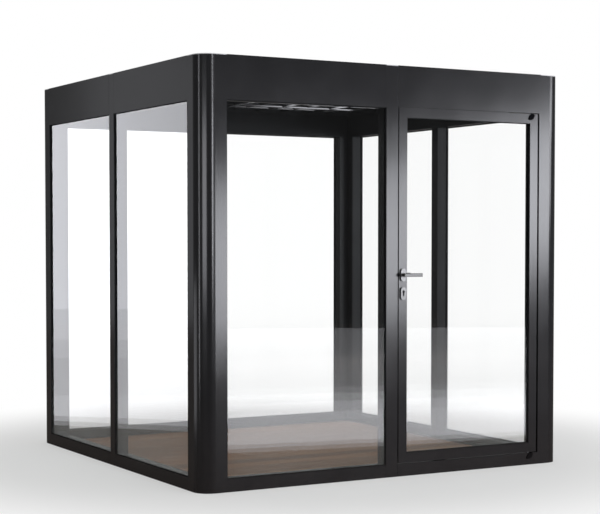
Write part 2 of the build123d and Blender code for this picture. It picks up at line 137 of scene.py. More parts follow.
def piece(name, meshes, body, finish, smooth_angle=None, replaces=()):
    """A finished piece at the origin that rides on a body of the frame."""
    obj = bpy.data.objects.new(name, joined(name, meshes))
    bpy.context.scene.collection.objects.link(obj)
    obj.data.materials.append(finish)
    if smooth_angle is not None:
        obj.data.shade_smooth()
        obj.data.set_sharp_from_angle(angle=math.radians(smooth_angle))
    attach(obj, body)
    if replaces:
        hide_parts(*replaces)
    return obj


def rounded_rectangle(width, height, corner, steps=4):
    """Outline of a rectangle with quarter-circle corners, centred, as an array of points.

    Each corner adds the points centre + corner * (cos a, sin a) for a over a quarter turn,
    and one more on each straight side next to it, a fifth of the corner's radius away, so that
    smooth shading leaves the sides flat.
    """
    beside = -0.2
    quarter = np.linspace(0, math.pi / 2, steps + 1)
    arc = np.stack([np.cos(quarter), np.sin(quarter)], -1)
    arc = np.concatenate([[[1, beside]], arc, [[beside, 1]]])
    turned = [arc @ np.array([[math.cos(a), math.sin(a)], [-math.sin(a), math.cos(a)]])
              for a in np.arange(4) * math.pi / 2]
    signs = np.repeat(np.array([[1, 1], [-1, 1], [-1, -1], [1, -1]]), steps + 3, axis=0)
    centres = signs * np.array([width / 2 - corner, height / 2 - corner])
    return centres + corner * np.concatenate(turned)


def glazing_outline(width, height, facet, lean):
    """Outline of a roof glazing bar, centred: flat on top, with its two lower edges bevelled.

    A bevel is as tall as the facet and comes in by its height times the tangent of its lean.
    """
    side, foot = width / 2, width / 2 - facet * math.tan(lean)
    top, knee, bottom = height / 2, facet - height / 2, -height / 2
    return np.array([(side, top), (-side, top), (-side, knee), (-foot, bottom),
                     (foot, bottom), (side, knee)])


def bar_along(start, end, side, up, outline):
    """A straight bar: the outline (side, up) at the start and again at the end."""
    start, end, side, up = (np.asarray(v, float) for v in (start, end, side, up))
    ring = outline[:, :1] * side + outline[:, 1:] * up
    return surface_mesh("bar", np.stack([start + ring, end + ring]))


def disc_stack(centre, axis, side, radii, depths, steps=32):
    """A turned shape: circles of the given radii at the given depths along an axis."""
    centre, axis, side = (np.asarray(v, float) for v in (centre, axis, side))
    other = np.cross(axis, side)
    turn = np.linspace(0, 2 * math.pi, steps, endpoint=False)
    circle = np.cos(turn)[:, None] * side + np.sin(turn)[:, None] * other
    rings = [centre + axis * depth + circle * radius for radius, depth in zip(radii, depths)]
    return surface_mesh("turned", np.array(rings))


# ---- shader building --------------------------------------------------------------------

def add_node(tree, kind, inputs=None, **facts):
    """A node with its settings and its unlinked input values."""
    node = tree.nodes.new(kind)
    for name, value in facts.items():
        setattr(node, name, value)
    for key, value in (inputs or {}).items():
        node.inputs[key].default_value = value
    return node


def effect_group(name, inputs, outputs):
    """An empty shader node group with named sockets; returns tree, input and output node."""
    group = bpy.data.node_groups.new(name, "ShaderNodeTree")
    for label, kind, default in inputs:
        socket = group.interface.new_socket(label, in_out="INPUT", socket_type=kind)
        socket.default_value = default
    for label, kind in outputs:
        group.interface.new_socket(label, in_out="OUTPUT", socket_type=kind)
    return group, group.nodes.new("NodeGroupInput"), group.nodes.new("NodeGroupOutput")


COLOUR, NUMBER, DIRECTION = "NodeSocketColor", "NodeSocketFloat", "NodeSocketVector"


def grain_group():
    """Satin coating: two close tones in soft clouds, fine orange-peel relief, ground dust.

    The tone drifts with a slow noise, the relief is a fast noise, and the dust mask grows
    towards the ground as (1 - height / reach) to a power, broken up by a middle noise.
    """
    if "coating_grain" in bpy.data.node_groups:
        return bpy.data.node_groups["coating_grain"]
    group, source, result = effect_group(
        "coating_grain",
        [("Tone", COLOUR, (0.02, 0.02, 0.02, 1)), ("Tone Shift", NUMBER, 0.08),
         ("Roughness", NUMBER, 0.3), ("Roughness Shift", NUMBER, 0.015),
         ("Relief", NUMBER, 0.1), ("Relief Size", NUMBER, 700.0),
         ("Dust Tone", COLOUR, (0.1, 0.07, 0.05, 1)), ("Dust", NUMBER, 0.3),
         ("Dust Reach", NUMBER, 0.5)],
        [("Color", COLOUR), ("Roughness", NUMBER), ("Normal", DIRECTION)])
    link = group.links.new
    place = add_node(group, "ShaderNodeTexCoord")
    slow = add_node(group, "ShaderNodeTexNoise", {"Scale": 3.5, "Detail": 3.0})
    fast = add_node(group, "ShaderNodeTexNoise", {"Detail": 2.0})
    middle = add_node(group, "ShaderNodeTexNoise", {"Scale": 26.0, "Detail": 4.0})
    for noise in (slow, fast, middle):
        link(place.outputs["Object"], noise.inputs["Vector"])
    link(source.outputs["Relief Size"], fast.inputs["Scale"])
    drift = add_node(group, "ShaderNodeMapRange", {"From Min": 0.3, "From Max": 0.7,
                                                  "To Min": -1.0, "To Max": 1.0})
    link(slow.outputs["Fac"], drift.inputs["Value"])
    lift = add_node(group, "ShaderNodeMath", operation="MULTIPLY_ADD", inputs={2: 1.0})
    link(drift.outputs["Result"], lift.inputs[0])
    link(source.outputs["Tone Shift"], lift.inputs[1])
    toned = add_node(group, "ShaderNodeVectorMath", operation="SCALE")
    link(source.outputs["Tone"], toned.inputs[0])
    link(lift.outputs[0], toned.inputs["Scale"])
    split = add_node(group, "ShaderNodeSeparateXYZ")
    link(place.outputs["Object"], split.inputs[0])
    height = add_node(group, "ShaderNodeMath", operation="DIVIDE", use_clamp=True)
    link(split.outputs["Z"], height.inputs[0])
    link(source.outputs["Dust Reach"], height.inputs[1])
    low = add_node(group, "ShaderNodeMath", operation="SUBTRACT", inputs={0: 1.0})
    link(height.outputs[0], low.inputs[1])
    steep = add_node(group, "ShaderNodeMath", operation="POWER", inputs={1: 1.6})
    link(low.outputs[0], steep.inputs[0])
    patch = add_node(group, "ShaderNodeMapRange", {"From Min": 0.3, "From Max": 0.7,
                                                  "To Min": 0.55, "To Max": 1.0})
    link(middle.outputs["Fac"], patch.inputs["Value"])
    patched = add_node(group, "ShaderNodeMath", operation="MULTIPLY")
    link(steep.outputs[0], patched.inputs[0])
    link(patch.outputs["Result"], patched.inputs[1])
    dust = add_node(group, "ShaderNodeMath", operation="MULTIPLY", use_clamp=True)
    link(patched.outputs[0], dust.inputs[0])
    link(source.outputs["Dust"], dust.inputs[1])
    dusted = add_node(group, "ShaderNodeMix", data_type="RGBA")
    link(dust.outputs[0], dusted.inputs["Factor"])
    link(toned.outputs["Vector"], dusted.inputs["A"])
    link(source.outputs["Dust Tone"], dusted.inputs["B"])
    link(dusted.outputs["Result"], result.inputs["Color"])
    wander = add_node(group, "ShaderNodeMath", operation="MULTIPLY_ADD")
    link(drift.outputs["Result"], wander.inputs[0])
    link(source.outputs["Roughness Shift"], wander.inputs[1])
    link(source.outputs["Roughness"], wander.inputs[2])
    dulled = add_node(group, "ShaderNodeMath", operation="MULTIPLY_ADD", use_clamp=True,
                      inputs={1: 0.3})
    link(dust.outputs[0], dulled.inputs[0])
    link(wander.outputs[0], dulled.inputs[2])
    link(dulled.outputs[0], result.inputs["Roughness"])
    bump = add_node(group, "ShaderNodeBump", {"Distance": 0.0004})
    link(source.outputs["Relief"], bump.inputs["Strength"])
    link(fast.outputs["Fac"], bump.inputs["Height"])
    link(bump.outputs["Normal"], result.inputs["Normal"])
    return group


def new_finish(name):
    """A material with a Principled shader; returns the material, its tree and the shader."""
    finish = bpy.data.materials.new(name)
    finish.use_nodes = True
    tree = finish.node_tree
    return finish, tree, tree.nodes["Principled BSDF"]


def coated(name, colour, roughness, specular=0.5, values=None):
    """A finish whose colour, roughness and relief come from the coating grain."""
    finish, tree, shader = new_finish(name)
    grain = add_node(tree, "ShaderNodeGroup", node_tree=grain_group())
    grain.inputs["Tone"].default_value = (*colour, 1.0)
    grain.inputs["Roughness"].default_value = roughness
    for key, value in (values or {}).items():
        grain.inputs[key].default_value = value
    for socket, target in (("Color", "Base Color"), ("Roughness", "Roughness"),
                           ("Normal", "Normal")):
        tree.links.new(grain.outputs[socket], shader.inputs[target])
    shader.inputs["Specular IOR Level"].default_value = specular
    return finish


def painted_reflection_group():
    """Mask of a whitish layer on the lower part of the panes, a painted reflection of the bright ground.

    It grows from nothing at the upper height to full at the lower height, as a smooth step,
    and a slow noise breaks it up a little.
    """
    if "pane_film" in bpy.data.node_groups:
        return bpy.data.node_groups["pane_film"]
    group, source, result = effect_group(
        "pane_film", [("Strength", NUMBER, 0.2), ("Upper", NUMBER, 0.95), ("Lower", NUMBER, 0.2)],
        [("Mask", NUMBER)])
    link = group.links.new
    place = add_node(group, "ShaderNodeTexCoord")
    split = add_node(group, "ShaderNodeSeparateXYZ")
    link(place.outputs["Object"], split.inputs[0])
    rise = add_node(group, "ShaderNodeMapRange", interpolation_type="SMOOTHSTEP")
    link(split.outputs["Z"], rise.inputs["Value"])
    link(source.outputs["Upper"], rise.inputs["From Min"])
    link(source.outputs["Lower"], rise.inputs["From Max"])
    cloud = add_node(group, "ShaderNodeTexNoise", {"Scale": 1.7, "Detail": 3.0})
    link(place.outputs["Object"], cloud.inputs["Vector"])
    patch = add_node(group, "ShaderNodeMapRange", {"From Min": 0.3, "From Max": 0.7,
                                                  "To Min": 0.75, "To Max": 1.0})
    link(cloud.outputs["Fac"], patch.inputs["Value"])
    both = add_node(group, "ShaderNodeMath", operation="MULTIPLY")
    link(rise.outputs["Result"], both.inputs[0])
    link(patch.outputs["Result"], both.inputs[1])
    final = add_node(group, "ShaderNodeMath", operation="MULTIPLY", use_clamp=True)
    link(both.outputs[0], final.inputs[0])
    link(source.outputs["Strength"], final.inputs[1])
    link(final.outputs[0], result.inputs["Mask"])
    return group


def glass_finish(name, tint, ior, haze):
    """Clear toughened glass, whitened low down by a painted reflection of the bright ground, which shadow and
    diffuse rays pass straight.
    """
    finish, tree, shader = new_finish(name)
    shader.inputs["Base Color"].default_value = (*tint, 1.0)
    shader.inputs["Transmission Weight"].default_value = 1.0
    shader.inputs["IOR"].default_value = ior
    shader.inputs["Roughness"].default_value = 0.0
    # Painted reflection: the mask below mixes a translucent white layer into the lower panes, standing in for the
    # bright ground that they reflect.
    painted_reflection = add_node(tree, "ShaderNodeGroup", node_tree=painted_reflection_group())
    painted_reflection.inputs["Strength"].default_value = haze
    veil = add_node(tree, "ShaderNodeBsdfTranslucent", {"Color": (0.9, 0.9, 0.9, 1.0)})
    with_painted_reflection = add_node(tree, "ShaderNodeMixShader")
    tree.links.new(painted_reflection.outputs["Mask"], with_painted_reflection.inputs[0])
    tree.links.new(shader.outputs[0], with_painted_reflection.inputs[1])
    tree.links.new(veil.outputs[0], with_painted_reflection.inputs[2])
    clear = add_node(tree, "ShaderNodeBsdfTransparent", {"Color": (0.9, 0.92, 0.915, 1.0)})
    path = add_node(tree, "ShaderNodeLightPath")
    mixed = add_node(tree, "ShaderNodeMixShader")
    either = add_node(tree, "ShaderNodeMath", operation="MAXIMUM")
    tree.links.new(path.outputs["Is Shadow Ray"], either.inputs[0])
    tree.links.new(path.outputs["Is Diffuse Ray"], either.inputs[1])
    tree.links.new(either.outputs[0], mixed.inputs[0])
    tree.links.new(with_painted_reflection.outputs[0], mixed.inputs[1])
    tree.links.new(clear.outputs[0], mixed.inputs[2])
    tree.links.new(mixed.outputs[0], tree.nodes["Material Output"].inputs["Surface"])
    return finish


def board_finish(name, light, dark, roughness):
    """Oiled boards: long grain lines, slow figure and a tone of its own for each board."""
    finish, tree, shader = new_finish(name)
    link = tree.links.new
    place = add_node(tree, "ShaderNodeTexCoord")
    tone = add_node(tree, "ShaderNodeAttribute", attribute_name="board_tone")
    apart = add_node(tree, "ShaderNodeVectorMath", operation="MULTIPLY_ADD")
    apart.inputs[1].default_value = (7.0, 7.0, 7.0)
    link(tone.outputs["Fac"], apart.inputs[0])
    link(place.outputs["Object"], apart.inputs[2])
    stretch = add_node(tree, "ShaderNodeMapping")
    stretch.inputs["Scale"].default_value = (2.0, 60.0, 60.0)
    link(apart.outputs["Vector"], stretch.inputs["Vector"])
    grain = add_node(tree, "ShaderNodeTexNoise", {"Scale": 1.6, "Detail": 6.0,
                                                 "Roughness": 0.62, "Distortion": 0.6})
    link(stretch.outputs["Vector"], grain.inputs["Vector"])
    figure = add_node(tree, "ShaderNodeTexNoise", {"Scale": 3.0, "Detail": 2.0})
    link(apart.outputs["Vector"], figure.inputs["Vector"])
    ramp = add_node(tree, "ShaderNodeMapRange", {"From Min": 0.25, "From Max": 0.75})
    link(grain.outputs["Fac"], ramp.inputs["Value"])
    colour = add_node(tree, "ShaderNodeMix", data_type="RGBA")
    colour.inputs["A"].default_value = (*dark, 1.0)
    colour.inputs["B"].default_value = (*light, 1.0)
    link(ramp.outputs["Result"], colour.inputs["Factor"])
    level = add_node(tree, "ShaderNodeMath", operation="MULTIPLY_ADD", inputs={1: 0.5, 2: 0.75})
    link(tone.outputs["Fac"], level.inputs[0])
    scaled = add_node(tree, "ShaderNodeVectorMath", operation="SCALE")
    link(colour.outputs["Result"], scaled.inputs[0])
    link(level.outputs[0], scaled.inputs["Scale"])
    link(scaled.outputs["Vector"], shader.inputs["Base Color"])
    shine = add_node(tree, "ShaderNodeMapRange", {"To Min": roughness - 0.08,
                                                 "To Max": roughness + 0.12})
    link(figure.outputs["Fac"], shine.inputs["Value"])
    link(shine.outputs["Result"], shader.inputs["Roughness"])
    bump = add_node(tree, "ShaderNodeBump", {"Distance": 0.0006, "Strength": 0.5})
    link(grain.outputs["Fac"], bump.inputs["Height"])
    link(bump.outputs["Normal"], shader.inputs["Normal"])
    return finish


# ---- settings a user would change ---------------------------------------------------------

def colour_setting(name, about, default):
    """A colour picker with a default in linear light."""
    return bpy.props.FloatVectorProperty(name=name, description=about, subtype="COLOR",
                                         size=3, min=0.0, max=1.0, default=default)


class GREENHOUSE_PG_finishes(bpy.types.PropertyGroup):
    """Colours and gloss of the finishes."""
    coat: colour_setting("Coat", "Powder coat of the posts, beams and door", (0.012, 0.012, 0.0135))
    coat_roughness: bpy.props.FloatProperty(
        name="Coat roughness", description="Lower is glossier", default=0.16, min=0.05, max=1.0)
    dust: colour_setting("Ground dust", "Dust film near the ground", (0.065, 0.042, 0.03))
    gasket: colour_setting("Gasket", "Glazing gaskets and door seals", (0.008, 0.008, 0.009))
    glass: colour_setting("Glass", "Tint of the glass", (0.995, 0.998, 0.997))
    glass_ior: bpy.props.FloatProperty(
        name="Glass index", description="Refraction index", default=1.3, min=1.1, max=2.0)
    # Strength of the painted reflection: a whitish layer low on the panes that stands in for the bright ground
    # they reflect.
    painted_reflection: bpy.props.FloatProperty(
        name="Glass film", description="Dust and damp low down on the panes", default=0.12,
        min=0.0, max=1.0)
    handle: colour_setting("Handle", "Satin metal of the lever and plates", (0.035, 0.036, 0.033))
    # Painted sheen: a lighter copy of the handle metal, so that the plates read brighter than the lever.
    plates: colour_setting("Handle plates", "Brighter metal of the plates", (0.06, 0.06, 0.062))
    # Painted sheen: a light grey that makes the thin edges of the post caps read bright along the top.
    cap_sheen: colour_setting("Post caps", "Grey caps on the posts", (0.5, 0.5, 0.52))
    plastic: colour_setting("Plastic", "Black covers and sockets", (0.004, 0.004, 0.005))
    board_light: colour_setting("Board, light", "Light tone of the floor boards", (0.4, 0.2, 0.09))
    board_dark: colour_setting("Board, dark", "Dark grain of the floor boards", (0.16, 0.07, 0.03))


class GREENHOUSE_PG_sizes(bpy.types.PropertyGroup):
    """Sizes of the pieces that are made here."""
    board_count: bpy.props.IntProperty(
        name="Floor boards", description="Boards side by side", default=18, min=4, max=60)
    board_gap: bpy.props.FloatProperty(
        name="Board gap", description="Gap between boards", default=0.003, unit="LENGTH")
    board_round: bpy.props.FloatProperty(
        name="Board edge", description="Rounding of board edges", default=0.002, unit="LENGTH")
    bar_facet: bpy.props.FloatProperty(
        name="Roof bar bevel", description="Height of the bevel under a roof bar",
        default=0.008, unit="LENGTH")
    bar_lean: bpy.props.FloatProperty(
        name="Roof bar bevel lean", description="Lean of that bevel, in degrees", default=20.0)
    thin_bar: bpy.props.FloatVectorProperty(
        name="Thin roof bar", description="Width and height of the bars half way between",
        size=2, unit="LENGTH", default=(0.014, 0.014))
    lever_edge: bpy.props.FloatProperty(
        name="Lever edge", description="Rounding of the lever's long edges", default=0.0018,
        unit="LENGTH")
    neck_waist: bpy.props.FloatProperty(
        name="Neck waist", description="How much thinner the lever's neck is half way",
        default=0.0014, unit="LENGTH")
    # The lean paints a shadow: it carries the black pivot cover down to the left, over where the cover's cast
    # shadow falls.
    cover_shadow_slant: bpy.props.FloatProperty(
        name="Cover slant", description="How far a pivot cover leans over its height",
        default=0.017, unit="LENGTH")
    cover_margin: bpy.props.FloatProperty(
        name="Cover margin", description="How much wider a pivot cover is on each side",
        default=0.003, unit="LENGTH")
    cylinder_depth: bpy.props.FloatProperty(
        name="Lock cylinder depth", description="How far the lock cylinder lies below its plate",
        default=0.0025, unit="LENGTH")


class GREENHOUSE_PG_stage(bpy.types.PropertyGroup):
    """Camera, lamps and backdrop."""
    eye: bpy.props.FloatVectorProperty(
        name="Camera place", description="Where the camera stands", subtype="TRANSLATION",
        unit="LENGTH", default=(-4.6346, -8.3106, 1.3479))
    yaw: bpy.props.FloatProperty(
        name="Camera heading", description="Turn to the right of +Y, in degrees", default=29.574)
    pitch: bpy.props.FloatProperty(
        name="Camera tilt", description="Tilt above level, in degrees", default=-2.151)
    lens: bpy.props.FloatProperty(
        name="Lens", description="Focal length on a 36 mm sensor", default=91.217,
        subtype="DISTANCE_CAMERA")
    shift: bpy.props.FloatVectorProperty(
        name="Lens shift", description="Shift across and up", size=2, default=(-0.0003, 0.06118))
    ambient: bpy.props.FloatProperty(
        name="Ambient", description="Strength of the room light on matt surfaces", default=0.62)
    mirrored: bpy.props.FloatProperty(
        name="Mirrored room", description="Strength of the room in reflections", default=0.13)
    through_glass: bpy.props.FloatProperty(
        name="Backdrop through glass",
        description="Strength of the white backdrop behind panes, to make up for their loss",
        default=1.07)


# ---- operators ------------------------------------------------------------------------------

def dress(names, finish):
    """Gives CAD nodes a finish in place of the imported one."""
    for name in names:
        slots = NODES[name].data.materials
        slots.clear()
        slots.append(finish)


def nodes_of(slot_name):
    """Names of the frame nodes that the record gives a slot."""
    return [name for name, slot in SLOT_OF.items() if slot == slot_name]


class GREENHOUSE_OT_frame_finish(bpy.types.Operator):
    """Powder coat on the posts, beams and door members"""
    bl_idname = "greenhouse.frame_finish"
    bl_label = "Frame finish"

    def execute(self, context):
        looks = context.scene.greenhouse_finishes
        coat = coated("anthracite_coat", looks.coat, looks.coat_roughness, specular=0.35,
                      values={"Dust Tone": (*looks.dust, 1.0), "Dust": 0.12, "Dust Reach": 0.6})
        dress(nodes_of("anthracite_aluminium"), coat)
        plastic = coated("matt_plastic", looks.plastic, 0.75, specular=0.02,
                         values={"Dust": 0.05})
        dress(nodes_of("black_plastic"), plastic)
        metal = coated("satin_metal", looks.handle, 0.3, specular=0.6,
                       values={"Relief": 0.05, "Dust": 0.0, "Tone Shift": 0.05})
        dress(nodes_of("dark_metal"), metal)
        # Painted sheen: the plates get a lighter, shinier copy of the handle metal so that they read brighter than
        # the lever.
        plates = coated("plate_metal", looks.plates, 0.26, specular=0.8,
                        values={"Relief": 0.03, "Dust": 0.0, "Tone Shift": 0.06})
        dress(["handle_plates_outside", "handle_plates_inside"], plates)
        # Painted sheen: the post caps are made light grey so that their thin edges read bright along the top.
        caps = coated("cap_metal", looks.cap_sheen, 0.4, values={"Dust": 0.1})
        dress(["post_caps"], caps)
        rubber = coated("gasket_rubber", looks.gasket, 0.7, specular=0.1,
                        values={"Relief": 0.3, "Dust": 0.1})
        dress(nodes_of("black_rubber"), rubber)
        return {"FINISHED"}


class GREENHOUSE_OT_glass(bpy.types.Operator):
    """Clear glass in the walls, the door and the roof"""
    bl_idname = "greenhouse.glass"
    bl_label = "Glass"

    def execute(self, context):
        looks = context.scene.greenhouse_finishes
        clear = glass_finish("pane_glass", looks.glass, looks.glass_ior, looks.painted_reflection)
        dress(nodes_of("clear_glass"), clear)
        return {"FINISHED"}


class GREENHOUSE_OT_floor_boards(bpy.types.Operator):
    """Separate floor boards with rounded edges in place of the plain floor"""
    bl_idname = "greenhouse.floor_boards"
    bl_label = "Floor boards"

    def execute(self, context):
        sizes = context.scene.greenhouse_sizes
        looks = context.scene.greenhouse_finishes
        low, high = spread("floor")
        pitch = (high[1] - low[1] + sizes.board_gap) / sizes.board_count
        width = pitch - sizes.board_gap
        thickness = high[2] - low[2]
        outline = rounded_rectangle(width, thickness, sizes.board_round, 2)
        centres = low[1] + width / 2 + pitch * np.arange(sizes.board_count)
        middle = (low[2] + high[2]) / 2
        boards = [bar_along((low[0], y, middle), (high[0], y, middle), (0, 1, 0), (0, 0, 1),
                            outline) for y in centres]
        per_board = len(boards[0].vertices)
        finish = board_finish("oiled_boards", looks.board_light, looks.board_dark, 0.5)
        floor = piece("floor_boards", boards, "frame", finish, 30, ["floor"])
        tones = np.random.default_rng(TONE_SEED).random(sizes.board_count)
        attribute = floor.data.attributes.new("board_tone", "FLOAT", "POINT")
        attribute.data.foreach_set("value", np.repeat(tones, per_board).astype(np.float32))
        return {"FINISHED"}


class GREENHOUSE_OT_roof_bars(bpy.types.Operator):
    """Roof glazing bars with bevelled lower edges, and thinner ones half way between them"""
    bl_idname = "greenhouse.roof_bars"
    bl_label = "Roof bars"

    def execute(self, context):
        sizes = context.scene.greenhouse_sizes
        coat = bpy.data.materials["anthracite_coat"]
        low, high = spread("roof_bars")
        cross_low, cross_high = spread("roof_cross_bars")
        width, height = ROOF_BAR_WIDTH, high[2] - low[2]
        thin_width, thin_height = sizes.thin_bar
        facet, lean = sizes.bar_facet, math.radians(sizes.bar_lean)
        thick = glazing_outline(width, height, facet, lean)
        thin = glazing_outline(thin_width, thin_height, facet, lean)
        middle, thin_middle = (low[2] + high[2]) / 2, high[2] - thin_height / 2
        beside_long, beside_cross, up = (1, 0, 0), (0, -1, 0), (0, 0, 1)
        # The plan is square, so these places are both the x of the bars and the y of the rows
        places = np.linspace(low[0] + width / 2, high[0] - width / 2, ROOF_BARS_EACH_WAY)
        long_bars = [bar_along((x, low[1], middle), (x, high[1], middle), beside_long, up, thick)
                     for x in places]
        edges = np.concatenate([[cross_low[0]], np.repeat(places, 2), [cross_high[0]]])
        inset = np.tile([0.5, -0.5], len(edges) // 2) * width
        inset[[0, -1]] = 0
        spans = (edges + inset).reshape(-1, 2)
        cross_bars = [bar_along((a, y, middle), (b, y, middle), beside_cross, up, thick)
                      for y in places for a, b in spans]
        half_bay = (places[1] - places[0]) / 2
        halves = np.append(places - half_bay, places[-1] + half_bay)
        thin_bars = [bar_along((x, a, thin_middle), (x, b, thin_middle), beside_long, up, thin)
                     for x in halves for a, b in spans]
        thin_cross_bars = []
        for x, (a, b) in zip(halves, spans):
            for start, end in ((a, x - thin_width / 2), (x + thin_width / 2, b)):
                thin_cross_bars += [bar_along((start, y, thin_middle), (end, y, thin_middle),
                                              beside_cross, up, thin) for y in halves]
        piece("roof_bars_bevelled", long_bars, "frame", coat, None, ["roof_bars"])
        piece("roof_cross_bars_bevelled", cross_bars, "frame", coat, None,
              ["roof_cross_bars"])
        piece("roof_thin_bars", thin_bars, "frame", coat)
        piece("roof_thin_cross_bars", thin_cross_bars, "frame", coat)
        return {"FINISHED"}


def lever_mesh(axis_point, face, outward, sizes, spindle):
    """A lever: a waisted round neck, a flat bar across its end, and the square spindle.

    The neck is turned: its radius is full less the waist times the squared sine of the way
    along it. The bar is a run of rounded rectangles along X; its half height follows a
    circle at the neck end and a small quarter circle at the free end, and its half thickness
    comes in at both ends by the edge rounding.
    """
    low, high = spread("lever_outside")
    bar_half, thick_half = (high[2] - low[2]) / 2, LEVER_THICKNESS / 2
    reach = face[1] - low[1] if outward < 0 else spread("lever_inside")[1][1] - face[1]
    foot = np.array([axis_point[0], face[1], axis_point[2]])
    way = np.linspace(0, 1, 25)
    waist = np.sin(math.pi * np.clip((way - 0.3) / 0.6, 0, 1)) ** 2
    radii = NECK_RADIUS - sizes.neck_waist * waist
    neck = disc_stack(foot, (0, outward, 0), (1, 0, 0), radii, way * (reach - thick_half))
    heel, tip, edge = LEVER_HEEL_ROUND, LEVER_TIP_ROUND, sizes.lever_edge
    length = high[0] - low[0]
    run = np.concatenate([np.linspace(0, 1, 15) ** 2 * heel,
                          length - tip * (1 - np.linspace(0, 1, 9)) ** 2])
    to_tip = np.clip(length - run, 0, tip)
    to_heel = np.clip(run, 0, heel)
    half_height = np.minimum(bar_half - heel + np.sqrt(heel ** 2 - (heel - to_heel) ** 2),
                             bar_half - tip + np.sqrt(tip ** 2 - (tip - to_tip) ** 2))
    to_end = np.clip(np.minimum(run, length - run), 0, edge)
    half_thick = thick_half - edge + np.sqrt(edge ** 2 - (edge - to_end) ** 2)
    middle = face[1] + outward * (reach - thick_half)
    rings = []
    for along, tall, thick in zip(run, half_height, half_thick):
        tall = max(tall, LEVER_LEAST_HALF_HEIGHT)
        outline = rounded_rectangle(2 * thick, 2 * tall, min(edge, 0.8 * tall, 0.8 * thick))
        across = np.full(len(outline), low[0] + along)
        rings.append(np.stack([across, middle + outline[:, 0], foot[2] + outline[:, 1]], -1))
    meshes = [neck, surface_mesh("bar", np.array(rings))]
    if spindle:
        back = (foot[0], high[1], foot[2])
        square = rounded_rectangle(SPINDLE_SIZE, SPINDLE_SIZE, SPINDLE_EDGE, 2)
        meshes.append(bar_along(foot, back, (1, 0, 0), (0, 0, 1), square))
    return meshes


def keyhole_outline(radius, half_slot, drop, steps=28):
    """Outline of a lock cylinder: a circle that runs over into a narrower straight tail.

    The circle is left where its width has shrunk to the tail's width, and the tail ends in
    a half circle.
    """
    opening = math.asin(half_slot / radius)
    round_part = np.linspace(opening - math.pi / 2, 1.5 * math.pi - opening, steps)
    tail = np.linspace(math.pi, 2 * math.pi, 9)
    head = radius * np.stack([np.cos(round_part), np.sin(round_part)], -1)
    foot = half_slot * np.stack([np.cos(tail), np.sin(tail)], -1) - [0, drop - half_slot]
    return np.concatenate([head, foot])


def half_disc(radius, slit, side, steps=13):
    """Outline of the part of a disc that lies more than the slit's half width off centre."""
    reach = math.acos(slit / radius)
    turn = np.linspace(-reach, reach, steps)
    return radius * np.stack([side * np.cos(turn), side * np.sin(turn)], -1)


def cover_mesh(node, shadow_slant, margin, bulge):
    """A bulged cover over a pivot: sheared rounded rings that shrink as the dome comes out.

    Ring by ring the outline is a superellipse of power three, scaled by the cube root of one less the cubed height
    of the dome, and it leans over by the slant from foot to head. This lean carries the black cover down to the
    left, over the place where its cast shadow falls: a painted shadow.
    """
    low, high = spread(node)
    centre, half = (low + high) / 2, (high - low) / 2 + [margin, 0, 0]
    turn = np.linspace(0, 2 * math.pi, 40, endpoint=False)
    wave = np.stack([np.cos(turn), np.sin(turn)], -1)
    outline = np.sign(wave) * np.abs(wave) ** (2 / 3)
    out = 1 - (1 - np.linspace(0, 1, 10)) ** 2
    shrink = 1 - bulge + bulge * np.cbrt(1 - (out * 0.98) ** 3)
    rings = []
    for height, size in zip(out, shrink):
        across = (half[0] - shadow_slant / 2) * size * outline[:, 0] + shadow_slant / 2 * size * outline[:, 1]
        tall = half[2] * size * outline[:, 1]
        depth = np.full(len(turn), high[1] - height * (high[1] - low[1]))
        rings.append(np.stack([centre[0] + across, depth, centre[2] + tall], -1))
    return surface_mesh("cover", np.array(rings))


